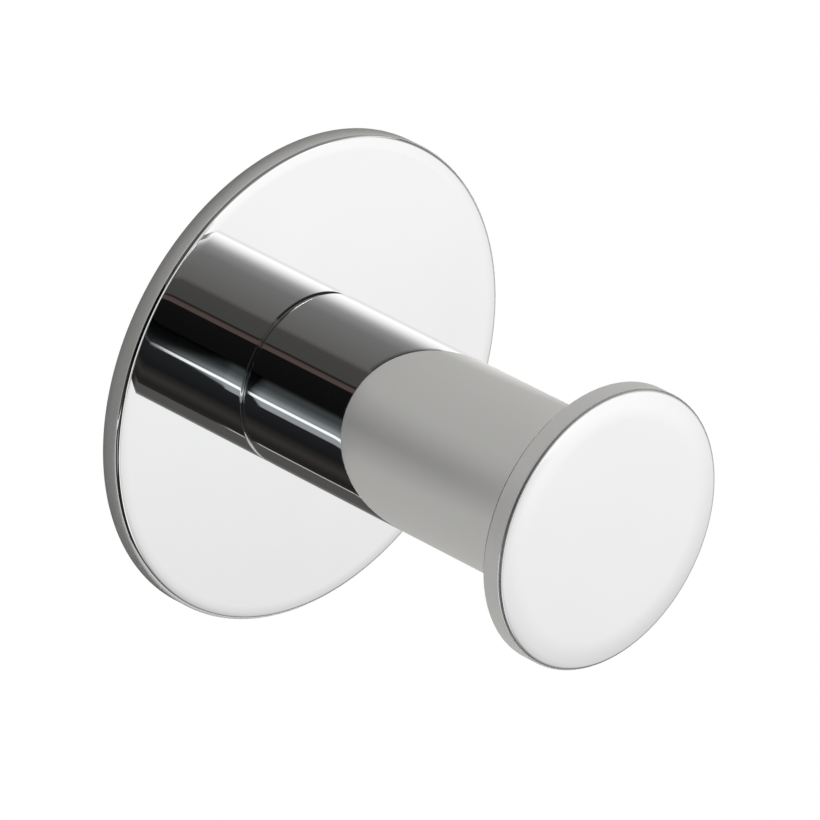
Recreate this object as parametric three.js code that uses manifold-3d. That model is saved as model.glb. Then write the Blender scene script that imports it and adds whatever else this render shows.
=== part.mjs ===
// Round wall hook in polished stainless steel: a thin back plate, a stout stem and a flat disc head,
// held to the wall by a boss that is hidden inside the stem.
// Units are millimetres. The wall is the plane y = 0, the hook stands out along -Y, and +Z is up.
import * as THREE from "three";
import { mergeVertices } from "three/addons/utils/BufferGeometryUtils.js";
import Module from "manifold-3d";

const wasm = await Module();
wasm.setup();

// Whole hook
const PROJECTION = 48; // wall to the front of the head

// Back plate
const PLATE_DIAMETER = 55;
const PLATE_THICKNESS = 2.3;
const PLATE_ROLL_RADIUS = 17; // buffed roll of the face towards its rim
const PLATE_ROLL_ANGLE = THREE.MathUtils.degToRad(4); // slope at which the roll meets the edge
const PLATE_EDGE_ROUND = 0.34;
const PLATE_WALL_CHAMFER = 0.1;

// Stem
const STEM_DIAMETER = 19.7;
const STEM_FOOT_ROUND = 0.3;
const STEM_FRONT_CHAMFER = 0.15;
const BORE_END_ROOM = 2.0; // free depth of the bore past the boss

// Head
const HEAD_DIAMETER = 31.2;
const HEAD_THICKNESS = 2.75;
const HEAD_ROLL_RADIUS = 36;
const HEAD_ROLL_ANGLE = THREE.MathUtils.degToRad(4.6);
const HEAD_EDGE_ROUND = 0.3;

// Stud between head and stem
const STUD_DIAMETER = 6;
const STUD_IN_HEAD = 1.2;
const STUD_IN_STEM = 11;
const STUD_CHAMFER = 0.8;
const STUD_END_ROOM = 1.0;

// Blind holes end in the cone that a twist drill leaves
const DRILL_POINT_ANGLE = THREE.MathUtils.degToRad(118);

// Mounting boss
const BOSS_DIAMETER = 13;
const BOSS_LENGTH = 12; // in front of the plate
const BOSS_CHAMFER = 0.6;
const PILOT_DIAMETER = 9.2; // the part that centres the plate
const PILOT_WALL_RELIEF = 0.2; // the pilot stops short of the wall, so that the plate is what is clamped
const GROOVE_FROM_PLATE = 6;

// Wall screw
const SCREW_DIAMETER = 4.5;
const SCREW_LENGTH = 35;
const SCREW_HEAD_DIAMETER = 8.4;
const SCREW_HEAD_RIM = 0.3;
const SCREW_HEAD_SUNK = 0.15;
const SCREW_TIP_LENGTH = 5;
const RECESS_WIDTH = 1.0;
const RECESS_SPAN = 4.4;
const RECESS_DEPTH = 2.2;

// Grub screw
const GRUB_DIAMETER = 4;
const GRUB_BITE = 0.8; // how far the point goes into the groove of the boss
const GRUB_POINT_DIAMETER = 1.2;
const GRUB_CHAMFER = 0.3;
const GRUB_SUNK = 0.1;
const HEX_ACROSS_FLATS = 2;
const HEX_DEPTH = 1.6;

// Clearances, each on the radius
const PILOT_CLEARANCE = 0.1;
const BORE_CLEARANCE = 0.1;
const SCREW_CLEARANCE = 0.25;
const THREAD_CLEARANCE = 0.1;
const HEAD_SEAT_GAP = 0.1; // along the wall screw, under its countersunk head
const POINT_SEAT_GAP = 0.1; // along the grub screw, under its point

// Facets
const OUTER_SEGMENTS = 96;
const INNER_SEGMENTS = 48;
const ARC_STEPS = 2;
const HEX_SIDES = 6;
const CUT_EXCESS = 1; // how far a cutter reaches past the face that it opens

// Distances from the wall, worked out from the sizes above
const plateFront = PLATE_THICKNESS;
const headBack = PROJECTION - HEAD_THICKNESS;
const bossFront = plateFront + BOSS_LENGTH;
const boreEnd = bossFront + BORE_END_ROOM;
const grooveCentre = plateFront + GROOVE_FROM_PLATE;
const screwHeadFront = bossFront - SCREW_HEAD_SUNK;
const screwTip = screwHeadFront - SCREW_LENGTH;
const studHeadEnd = headBack + STUD_IN_HEAD;
const studStemEnd = headBack - STUD_IN_STEM;

// Radii
const plateRadius = PLATE_DIAMETER / 2;
const stemRadius = STEM_DIAMETER / 2;
const headRadius = HEAD_DIAMETER / 2;
const studRadius = STUD_DIAMETER / 2;
const studHoleRadius = studRadius + THREAD_CLEARANCE;
const bossRadius = BOSS_DIAMETER / 2;
const boreRadius = bossRadius + BORE_CLEARANCE;
const pilotRadius = PILOT_DIAMETER / 2;
const screwRadius = SCREW_DIAMETER / 2;
const screwHoleRadius = screwRadius + SCREW_CLEARANCE;
const screwHeadRadius = SCREW_HEAD_DIAMETER / 2;
const grubRadius = GRUB_DIAMETER / 2;
const grubPointRadius = GRUB_POINT_DIAMETER / 2;
const grubTip = bossRadius - GRUB_BITE;
const grubLength = stemRadius - GRUB_SUNK - grubTip;

const drillPointSlope = 1 / Math.tan(DRILL_POINT_ANGLE / 2);

// The countersunk head and the grub screw's point are right-angled cones: as deep as they are wide.
const screwConeFront = screwHeadFront - SCREW_HEAD_RIM;
const screwConeBack = screwConeFront - (screwHeadRadius - screwRadius);

// Finishes
const MIRROR_STEEL = { color: 0xd6d7d8, metalness: 1, roughness: 0.05 };
const TURNED_STEEL = { color: 0xb9b7b2, metalness: 1, roughness: 0.35 };
const ZINC_PLATED = { color: 0xc3c2ba, metalness: 1, roughness: 0.4 };
const DARK_STEEL = { color: 0x55565a, metalness: 1, roughness: 0.45 };

// A named mesh with a material of its own.
function piece(name, geometry, finish) {
  const mesh = new THREE.Mesh(geometry, new THREE.MeshStandardMaterial(finish));
  mesh.name = name;
  return mesh;
}

// A solid of revolution about Y; the path holds radius and distance, outside walls going up.
function turned(path, segments) {
  return new THREE.LatheGeometry(path.getPoints(ARC_STEPS), segments);
}

// Carries a path from a rim, round its front edge and over the rolled brink of a flat face.
function rolledEdge(path, rimRadius, faceLevel, edgeRound, rollRadius, rollAngle) {
  const inward = rollRadius - edgeRound;
  const flatRadius = rimRadius - edgeRound - inward * Math.sin(rollAngle);
  const rollCentre = faceLevel - rollRadius;
  const edgeCentre = rollCentre + inward * Math.cos(rollAngle);
  const meeting = Math.PI / 2 - rollAngle;
  path.lineTo(rimRadius, edgeCentre);
  path.absarc(rimRadius - edgeRound, edgeCentre, edgeRound, 0, meeting);
  path.absarc(flatRadius, rollCentre, rollRadius, meeting, Math.PI / 2);
}

// A closed geometry as a solid that can be cut.
function solidOf(geometry) {
  const bare = geometry.clone();
  bare.deleteAttribute("normal");
  bare.deleteAttribute("uv");
  const merged = mergeVertices(bare);
  return new wasm.Manifold(
    new wasm.Mesh({
      numProp: 3,
      vertProperties: merged.attributes.position.array,
      triVerts: new Uint32Array(merged.index.array),
    }),
  );
}

// The first geometry with the others taken out of it.
function cut(geometry, ...cutters) {
  const left = cutters.reduce((rest, cutter) => rest.subtract(solidOf(cutter)), solidOf(geometry));
  const mesh = left.getMesh();
  return new THREE.BufferGeometry()
    .setAttribute("position", new THREE.BufferAttribute(mesh.vertProperties, mesh.numProp))
    .setIndex(new THREE.BufferAttribute(mesh.triVerts, 1));
}

// Disc with a face that rolls off towards its rim, a broken edge at the wall and a hole for the boss.
function backPlate() {
  const holeRadius = pilotRadius + PILOT_CLEARANCE;
  const path = new THREE.Path();
  path.moveTo(holeRadius, 0);
  path.lineTo(plateRadius - PLATE_WALL_CHAMFER, 0);
  path.lineTo(plateRadius, PLATE_WALL_CHAMFER);
  rolledEdge(path, plateRadius, plateFront, PLATE_EDGE_ROUND, PLATE_ROLL_RADIUS, PLATE_ROLL_ANGLE);
  path.lineTo(holeRadius, plateFront);
  path.closePath();
  return piece("back_plate", turned(path, OUTER_SEGMENTS), MIRROR_STEEL);
}

// Bar with a rounded foot, a bore for the boss, a hole for the stud and a cross hole for the grub screw.
function stem() {
  const studHoleEnd = studStemEnd - STUD_END_ROOM;
  const path = new THREE.Path();
  path.moveTo(0, boreEnd + boreRadius * drillPointSlope);
  path.lineTo(boreRadius, boreEnd);
  path.lineTo(boreRadius, plateFront);
  path.lineTo(stemRadius - STEM_FOOT_ROUND, plateFront);
  path.absarc(
    stemRadius - STEM_FOOT_ROUND,
    plateFront + STEM_FOOT_ROUND,
    STEM_FOOT_ROUND,
    -Math.PI / 2,
    0,
  );
  path.lineTo(stemRadius, headBack - STEM_FRONT_CHAMFER);
  path.lineTo(stemRadius - STEM_FRONT_CHAMFER, headBack);
  path.lineTo(studHoleRadius, headBack);
  path.lineTo(studHoleRadius, studHoleEnd);
  path.lineTo(0, studHoleEnd - studHoleRadius * drillPointSlope);
  const bar = turned(path, OUTER_SEGMENTS);

  const crossHoleRadius = grubRadius + THREAD_CLEARANCE;
  const crossHoleLength = stemRadius + CUT_EXCESS;
  const crossHole = new THREE.CylinderGeometry(
    crossHoleRadius,
    crossHoleRadius,
    crossHoleLength,
    INNER_SEGMENTS,
  );
  crossHole.rotateX(Math.PI / 2);
  crossHole.translate(0, grooveCentre, -crossHoleLength / 2);
  return piece("stem", cut(bar, crossHole), MIRROR_STEEL);
}

// Disc with rounded edges, a face that rolls off a little and a seat for the stud in its back.
function headDisc() {
  const path = new THREE.Path();
  path.moveTo(0, studHeadEnd);
  path.lineTo(studHoleRadius, studHeadEnd);
  path.lineTo(studHoleRadius, headBack);
  path.lineTo(headRadius - HEAD_EDGE_ROUND, headBack);
  path.absarc(
    headRadius - HEAD_EDGE_ROUND,
    headBack + HEAD_EDGE_ROUND,
    HEAD_EDGE_ROUND,
    -Math.PI / 2,
    0,
  );
  rolledEdge(path, headRadius, PROJECTION, HEAD_EDGE_ROUND, HEAD_ROLL_RADIUS, HEAD_ROLL_ANGLE);
  path.lineTo(0, PROJECTION);
  return piece("head_disc", turned(path, OUTER_SEGMENTS), MIRROR_STEEL);
}

// Stud that is fixed in the head and screws into the stem.
function headStud() {
  const path = new THREE.Path();
  path.moveTo(0, studStemEnd);
  path.lineTo(studRadius - STUD_CHAMFER, studStemEnd);
  path.lineTo(studRadius, studStemEnd + STUD_CHAMFER);
  path.lineTo(studRadius, studHeadEnd);
  path.lineTo(0, studHeadEnd);
  return piece("head_stud", turned(path, INNER_SEGMENTS), TURNED_STEEL);
}

// Spigot: a pilot in the plate, a shoulder that clamps it, a V groove and a countersunk screw hole.
function mountingBoss() {
  const sinkBack = screwConeBack - HEAD_SEAT_GAP;
  const sinkMouthRadius = screwRadius + bossFront - sinkBack;
  const grooveBottom = grubTip - POINT_SEAT_GAP;
  const grooveMouthHalf = grubPointRadius + bossRadius - grooveBottom;
  const path = new THREE.Path();
  path.moveTo(screwHoleRadius, PILOT_WALL_RELIEF);
  path.lineTo(pilotRadius, PILOT_WALL_RELIEF);
  path.lineTo(pilotRadius, plateFront);
  path.lineTo(bossRadius, plateFront);
  path.lineTo(bossRadius, grooveCentre - grooveMouthHalf);
  path.lineTo(grooveBottom, grooveCentre - grubPointRadius);
  path.lineTo(grooveBottom, grooveCentre + grubPointRadius);
  path.lineTo(bossRadius, grooveCentre + grooveMouthHalf);
  path.lineTo(bossRadius, bossFront - BOSS_CHAMFER);
  path.lineTo(bossRadius - BOSS_CHAMFER, bossFront);
  path.lineTo(sinkMouthRadius, bossFront);
  path.lineTo(screwHoleRadius, sinkBack + SCREW_CLEARANCE);
  path.closePath();
  return piece("mounting_boss", turned(path, INNER_SEGMENTS), TURNED_STEEL);
}

// Countersunk screw with a long point and a cross recess.
function wallScrew() {
  const path = new THREE.Path();
  path.moveTo(0, screwTip);
  path.lineTo(screwRadius, screwTip + SCREW_TIP_LENGTH);
  path.lineTo(screwRadius, screwConeBack);
  path.lineTo(screwHeadRadius, screwConeFront);
  path.lineTo(screwHeadRadius, screwHeadFront);
  path.lineTo(0, screwHeadFront);
  const blank = turned(path, INNER_SEGMENTS);

  const recessHeight = RECESS_DEPTH + CUT_EXCESS;
  const recessCentre = screwHeadFront - RECESS_DEPTH + recessHeight / 2;
  const slots = [
    new THREE.BoxGeometry(RECESS_SPAN, recessHeight, RECESS_WIDTH),
    new THREE.BoxGeometry(RECESS_WIDTH, recessHeight, RECESS_SPAN),
  ];
  slots.forEach((slot) => slot.translate(0, recessCentre, 0));
  return piece("wall_screw", cut(blank, ...slots), ZINC_PLATED);
}

// Headless screw with a cone point and a hex socket, turned about Y with its point at the origin.
function grubScrew() {
  const pointLength = grubRadius - grubPointRadius;
  const path = new THREE.Path();
  path.moveTo(0, 0);
  path.lineTo(grubPointRadius, 0);
  path.lineTo(grubRadius, pointLength);
  path.lineTo(grubRadius, grubLength - GRUB_CHAMFER);
  path.lineTo(grubRadius - GRUB_CHAMFER, grubLength);
  path.lineTo(0, grubLength);
  const blank = turned(path, INNER_SEGMENTS);

  const hexRadius = HEX_ACROSS_FLATS / 2 / Math.cos(Math.PI / HEX_SIDES);
  const hexHeight = HEX_DEPTH + CUT_EXCESS;
  const socket = new THREE.CylinderGeometry(hexRadius, hexRadius, hexHeight, HEX_SIDES);
  socket.translate(0, grubLength - HEX_DEPTH + hexHeight / 2, 0);
  const screw = piece("grub_screw", cut(blank, socket), DARK_STEEL);

  // The screw points up at the axis from the underside of the stem.
  screw.rotation.x = -Math.PI / 2;
  screw.position.set(0, grooveCentre, -grubTip);
  return screw;
}

const hook = new THREE.Group();
hook.add(backPlate(), stem(), headDisc(), headStud(), mountingBoss(), wallScrew(), grubScrew());
hook.rotation.z = Math.PI; // distances from the wall become -Y

export default hook;
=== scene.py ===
"""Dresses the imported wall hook: mirror-polished plate, stem and head, the hidden fixing, a plain studio.

Everything is in metres in the hook's own frame: the wall is the plane y = 0, the hook stands out along -Y
and +Z is up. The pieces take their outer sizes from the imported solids; what is written here is finishing
detail.
"""

import logging
import math
from abc import ABC, abstractmethod
from dataclasses import dataclass, field, replace
from enum import Enum
from functools import partial
from typing import Any, Callable, NamedTuple, Optional, Sequence, Union

import bpy
from bpy.types import Material, Node, NodeSocket, NodeTree, Object
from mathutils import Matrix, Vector


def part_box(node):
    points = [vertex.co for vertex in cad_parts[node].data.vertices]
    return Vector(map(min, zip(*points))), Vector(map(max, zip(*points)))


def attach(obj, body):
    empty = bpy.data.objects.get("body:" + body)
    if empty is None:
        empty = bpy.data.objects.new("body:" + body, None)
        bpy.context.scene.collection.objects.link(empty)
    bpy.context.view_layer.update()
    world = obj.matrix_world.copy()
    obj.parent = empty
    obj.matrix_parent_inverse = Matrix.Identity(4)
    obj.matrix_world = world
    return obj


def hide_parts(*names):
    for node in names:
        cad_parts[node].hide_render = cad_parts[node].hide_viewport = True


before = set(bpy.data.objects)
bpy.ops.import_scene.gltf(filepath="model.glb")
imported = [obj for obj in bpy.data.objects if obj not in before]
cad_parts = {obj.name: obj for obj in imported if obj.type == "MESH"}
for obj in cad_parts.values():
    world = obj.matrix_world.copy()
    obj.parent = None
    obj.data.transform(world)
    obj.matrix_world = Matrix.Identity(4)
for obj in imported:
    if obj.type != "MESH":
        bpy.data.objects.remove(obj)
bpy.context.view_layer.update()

LOG = logging.getLogger("wall_hook")
MM = 0.001
BODY = "root"
FULL_TURN = 2.0 * math.pi
QUARTER = 90.0
UNIT = (0.0, 1.0)
RIGHT = Vector((1.0, 0.0, 0.0))
INTO_WALL = Vector((0.0, 1.0, 0.0))
UP = Vector((0.0, 0.0, 1.0))

Colour = tuple[float, float, float]
Pair = tuple[float, float]
Row = tuple[float, float, float]
Value = Union[float, Colour, NodeSocket]


class Solid(str, Enum):
    """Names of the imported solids."""

    BACK_PLATE = "back_plate"
    STEM = "stem"
    HEAD_DISC = "head_disc"
    HEAD_STUD = "head_stud"
    MOUNTING_BOSS = "mounting_boss"
    WALL_SCREW = "wall_screw"
    GRUB_SCREW = "grub_screw"


class Slot(str, Enum):
    """Names of the record's material slots."""

    MIRROR = "mirror_steel"
    TURNED = "turned_steel"
    ZINC = "zinc_plated"
    DARK = "dark_steel"


class Face(int, Enum):
    """Which of a piece's materials a face has."""

    POLISHED = 0
    MACHINED = 1


# Helpers


def mixed(near: Any, far: Any, share: float) -> Any:
    """Mixes two numbers, or two rows of numbers of the same form.

    Args:
        near: First number or row.
        far: Second number or row.
        share: Share of the second.

    Returns:
        The mixed number or row.
    """
    if isinstance(near, tuple):
        return tuple(mixed(low, high, share) for low, high in zip(near, far))
    return near + (far - near) * share


def refined(points: Sequence[tuple], steps: Callable[[tuple, tuple], int]) -> list[tuple]:
    """Adds points between those of a row of points.

    Args:
        points: The points, as rows of numbers.
        steps: Gives how many steps lead from one point to the next.

    Returns:
        All the points in order.
    """
    fine = [points[0]]
    for near, far in zip(points, points[1:]):
        count = steps(near, far)
        fine.extend(mixed(near, far, number / count) for number in range(1, count + 1))
    return fine


def grey(level: float) -> Colour:
    """Gives a neutral colour."""
    return (level, level, level)


def placed(name: str, data: bpy.types.ID) -> Object:
    """Makes an object of some data and puts it in the scene.

    Args:
        name: The object's name.
        data: Its mesh, camera or lamp.

    Returns:
        The new object.
    """
    thing = bpy.data.objects.new(name, data)
    bpy.context.scene.collection.objects.link(thing)
    return thing


# Axes and outlines


@dataclass(frozen=True)
class Axis:
    """Line about which a piece is turned.

    Attributes:
        across: Direction of the angle 0.
        up: Direction of the quarter turn; across, up and along are right-handed.
        along: Direction of the axis.
        origin: Where distances along it are counted from.
    """

    across: Vector
    up: Vector
    along: Vector
    origin: Vector = field(default_factory=Vector)

    def heading(self, radial: float, lengthwise: float, angle: float) -> Vector:
        """Gives a direction at an angle about the axis.

        Args:
            radial: Its part away from the axis.
            lengthwise: Its part along the axis.
            angle: The angle about the axis.

        Returns:
            The direction in the hook's frame.
        """
        outward = self.across * math.cos(angle) + self.up * math.sin(angle)
        return outward * radial + self.along * lengthwise

    def leaning(self, turn: float, lean: float) -> Vector:
        """Gives the direction that is turned about the axis and leans away from it, both in degrees."""
        tilt = math.radians(lean)
        return self.heading(math.sin(tilt), math.cos(tilt), math.radians(turn))

    def point(self, radius: float, distance: float, angle: float) -> Vector:
        """Gives the point at a radius, a distance along the axis and an angle about it."""
        return self.origin + self.heading(radius, distance, angle)


HOOK_AXIS = Axis(across=RIGHT, up=UP, along=-INTO_WALL)


@dataclass(frozen=True)
class Reach:
    """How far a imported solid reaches.

    Attributes:
        radius: Half its width across the hook.
        wall_end: Distance from the wall of the end nearest to it.
        front_end: Distance from the wall of the far end.
        lowest: Height of its lowest point.
        highest: Height of its highest point.
    """

    radius: float
    wall_end: float
    front_end: float
    lowest: float
    highest: float

    @classmethod
    def of(cls, solid: Solid) -> "Reach":
        """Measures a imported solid."""
        low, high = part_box(solid.value)
        return cls((high.x - low.x) / 2.0, -high.y, -low.y, low.z, high.z)

    @property
    def middle(self) -> float:
        """Distance of its middle from the wall."""
        return (self.wall_end + self.front_end) / 2.0


@dataclass(frozen=True)
class Brink:
    """Buffed brink of a surface: a slow roll that ends in a tight edge.

    Attributes:
        roll: Radius of the roll.
        slope: Slope in degrees at which the roll meets the edge.
        edge: Radius of the edge.
    """

    roll: float
    slope: float
    edge: float

    ROLL_STEPS = 28
    EDGE_STEPS = 12

    def setback(self) -> Pair:
        """Works out how far the brink goes.

        Returns:
            How far from the corner the roll starts, and how far below the surface the edge's middle lies.
        """
        slope = math.radians(self.slope)
        inward = self.roll - self.edge
        return self.edge + inward * math.sin(slope), self.roll - inward * math.cos(slope)


class Outline:
    """Outline of a turned piece, as smooth runs of (radius, distance) that meet at sharp corners.

    It goes round the piece so that its outer walls run the way of the axis.
    """

    def __init__(self, radius: float, distance: float) -> None:
        """Starts the outline at a point.

        Args:
            radius: The point's distance from the axis.
            distance: Its distance along the axis.
        """
        self.runs: list[list[Pair]] = []
        self.faces: list[Face] = []
        self.pen: Pair = (radius, distance)

    def run(self, face: Face = Face.POLISHED) -> "Outline":
        """Starts a new run, so that the outline has a sharp corner here.

        Args:
            face: Which of the piece's materials the run has.

        Returns:
            The outline itself.
        """
        self.runs.append([self.pen])
        self.faces.append(face)
        return self

    def to(self, radius: float, distance: float) -> "Outline":
        """Draws a straight line to a point, as part of the current run.

        Args:
            radius: The point's distance from the axis.
            distance: Its distance along the axis.

        Returns:
            The outline itself.
        """
        self.pen = (radius, distance)
        self.runs[-1].append(self.pen)
        return self

    def flat(self, radius: float, distance: float, face: Face = Face.POLISHED) -> "Outline":
        """Draws a straight line to a point, as a run of its own."""
        return self.run(face).to(radius, distance)

    def arc(self, centre: Pair, radius: float, start: float, stop: float, steps: int) -> "Outline":
        """Draws an arc, as part of the current run.

        Args:
            centre: Radius and distance of its centre.
            radius: Its own radius.
            start: Angle in degrees where it starts, from the radius towards the distance.
            stop: Angle in degrees where it stops.
            steps: How many straight steps it has.

        Returns:
            The outline itself.
        """
        for step in range(1, steps + 1):
            angle = math.radians(start + (stop - start) * step / steps)
            self.to(centre[0] + radius * math.cos(angle), centre[1] + radius * math.sin(angle))
        return self

    def over(self, rim: float, face: float, brink: Brink) -> "Outline":
        """Goes from a rim over the brink of a flat face, as part of the current run.

        Args:
            rim: Radius of the rim.
            face: Distance of the face.
            brink: Form of the brink.

        Returns:
            The outline itself.
        """
        along, sunk = brink.setback()
        meeting = QUARTER - brink.slope
        self.to(rim, face - sunk)
        self.arc((rim - brink.edge, face - sunk), brink.edge, 0.0, meeting, brink.EDGE_STEPS)
        return self.arc((rim - along, face - brink.roll), brink.roll, meeting, QUARTER, brink.ROLL_STEPS)

    def heel(self, rim: float, foot: float, brink: Brink) -> "Outline":
        """Goes from a foot over the brink of a round wall: a sharp corner, then the brink as one run.

        Args:
            rim: Radius of the wall.
            foot: Distance of the foot.
            brink: Form of the brink.

        Returns:
            The outline itself.
        """
        along, sunk = brink.setback()
        self.to(rim - sunk, foot).run()
        self.arc((rim - sunk, foot + brink.edge), brink.edge, -QUARTER, -brink.slope, brink.EDGE_STEPS)
        return self.arc((rim - brink.roll, foot + along), brink.roll, -brink.slope, 0.0, brink.ROLL_STEPS)


def run_normals(run: Sequence[Pair]) -> list[Pair]:
    """Works out the outward normal at each point of a smooth run.

    Args:
        run: Points as radius and distance.

    Returns:
        One unit normal for each point, along radius and distance.
    """
    normals = []
    for index in range(len(run)):
        before = run[max(index - 1, 0)]
        after = run[min(index + 1, len(run) - 1)]
        along = Vector((after[0] - before[0], after[1] - before[1])).normalized()
        normals.append((along.y, -along.x))
    return normals


# Meshes


class MeshDraft:
    """Collects the corners and faces of one piece, with a normal for each corner of each smooth face."""

    SHARP_ANGLE = math.radians(35.0)
    SAME_PLACE_DIGITS = 9

    def __init__(self, name: str, segments: int, *outlines: Outline, axis: Axis = HOOK_AXIS) -> None:
        """Starts the draft of a turned piece.

        Args:
            name: The piece's name.
            segments: Segments round it.
            *outlines: Outlines that are turned about its axis.
            axis: Its axis.
        """
        self.name = name
        self.segments = segments
        self.axis = axis
        self.angles = [FULL_TURN * step / segments for step in range(segments)]
        self.corners: list[Vector] = []
        self.faces: list[tuple[int, ...]] = []
        self.normals: list[Vector] = []
        self.finishes: list[int] = []
        self._rings: dict[tuple[float, ...], list[int]] = {}
        for outline in outlines:
            self._turn(outline)

    def _turn(self, outline: Outline) -> None:
        """Turns an outline about the axis.

        Args:
            outline: The outline.
        """
        for run, finish in zip(outline.runs, outline.faces):
            normals = run_normals(run)
            for step in range(len(run) - 1):
                self.band((run[step], run[step + 1]), (normals[step], normals[step + 1]), finish)

    def corner(self, place: Vector) -> int:
        """Adds a corner and returns its number."""
        self.corners.append(place)
        return len(self.corners) - 1

    def face(self, corners: Sequence[int], normals: Sequence[Vector], finish: Face) -> None:
        """Adds a face, turned so that it looks the way its normals point.

        Args:
            corners: Numbers of its corners, in order round it.
            normals: The surface's normal at each corner; none for a piece without normals of its own.
            finish: Which of the piece's materials it has.
        """
        order = list(range(len(corners)))
        if normals:
            first, second, third = (self.corners[number] for number in corners[:3])
            looks = (second - first).cross(third - first)
            if looks.dot(sum(normals, Vector())) < 0.0:
                order.reverse()
            self.normals.extend(normals[index] for index in order)
        self.faces.append(tuple(corners[index] for index in order))
        self.finishes.append(finish.value)

    def around(self, distance: float, reach: Callable[[float], float]) -> list[Vector]:
        """Gives the points of a ring at a distance, each as far out as its angle asks for."""
        return [self.axis.point(reach(angle), distance, angle) for angle in self.angles]

    def ring(self, point: Pair) -> list[int]:
        """Gives the corners of the ring at a radius and distance.

        Args:
            point: Radius and distance of the ring.

        Returns:
            One corner's number for each segment, the same one throughout where it closes on the axis.
        """
        radius, distance = point
        key = tuple(round(value, self.SAME_PLACE_DIGITS) for value in point)
        if key not in self._rings:
            if key[0] == 0.0:
                made = [self.corner(self.axis.point(0.0, distance, 0.0))] * self.segments
            else:
                made = [self.corner(place) for place in self.around(distance, lambda angle: radius)]
            self._rings[key] = made
        return self._rings[key]

    def band(
        self,
        points: tuple[Pair, Pair],
        normals: tuple[Pair, Pair],
        finish: Face,
        steps: Optional[Sequence[int]] = None,
    ) -> None:
        """Adds the faces between two rings.

        Args:
            points: Radius and distance of the two rings.
            normals: The outline's normal at each of them.
            finish: Which of the piece's materials the band has.
            steps: Segments that get a face; all of them where it is left out.
        """
        rings = [self.ring(point) for point in points]
        for step in range(self.segments) if steps is None else steps:
            after = (step + 1) % self.segments
            kept: dict[int, Vector] = {}
            for side, place in ((0, step), (0, after), (1, after), (1, step)):
                kept.setdefault(rings[side][place], self.axis.heading(*normals[side], self.angles[place]))
            self.face(list(kept), list(kept.values()), finish)

    def stitch(
        self, near: Sequence[int], far: Sequence[int], looks: Callable[[Vector], Vector], finish: Face
    ) -> None:
        """Adds the faces between two closed loops of corners.

        Args:
            near: First loop.
            far: Second loop, with as many corners.
            looks: Gives the surface's normal at a place, of any length.
            finish: Which of the piece's materials the faces have.
        """
        for step in range(len(near)):
            after = (step + 1) % len(near)
            corners = (near[step], near[after], far[after], far[step])
            self.face(corners, [looks(self.corners[number]).normalized() for number in corners], finish)

    def loft(self, rings: Sequence[Sequence[Vector]]) -> None:
        """Joins closed rings of points, one to the next, and closes both ends on their middles.

        Args:
            rings: The rings, all with one point for each segment.
        """
        start, stop = (self.corner(sum(ring, Vector()) / len(ring)) for ring in (rings[0], rings[-1]))
        numbers = [[start] * self.segments]
        numbers += [[self.corner(place) for place in ring] for ring in rings]
        numbers.append([stop] * self.segments)
        for near, far in zip(numbers, numbers[1:]):
            for step in range(self.segments):
                after = (step + 1) % self.segments
                loop = dict.fromkeys((near[step], near[after], far[after], far[step]))
                self.face(list(loop), (), Face.POLISHED)

    def finished(self, *materials: Material) -> Object:
        """Makes the piece from the draft.

        Args:
            *materials: The piece's materials, in the order of Face.

        Returns:
            The new object, linked to the scene.
        """
        mesh = bpy.data.meshes.new(self.name)
        mesh.from_pydata(self.corners, [], self.faces)
        for material in materials:
            mesh.materials.append(material)
        mesh.polygons.foreach_set("material_index", self.finishes)
        mesh.polygons.foreach_set("use_smooth", [True] * len(mesh.polygons))
        if self.normals:
            mesh.normals_split_custom_set(self.normals)
        else:
            mesh.set_sharp_from_angle(angle=self.SHARP_ANGLE)
        mesh.update()
        return placed(self.name, mesh)


# Nodes


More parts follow.
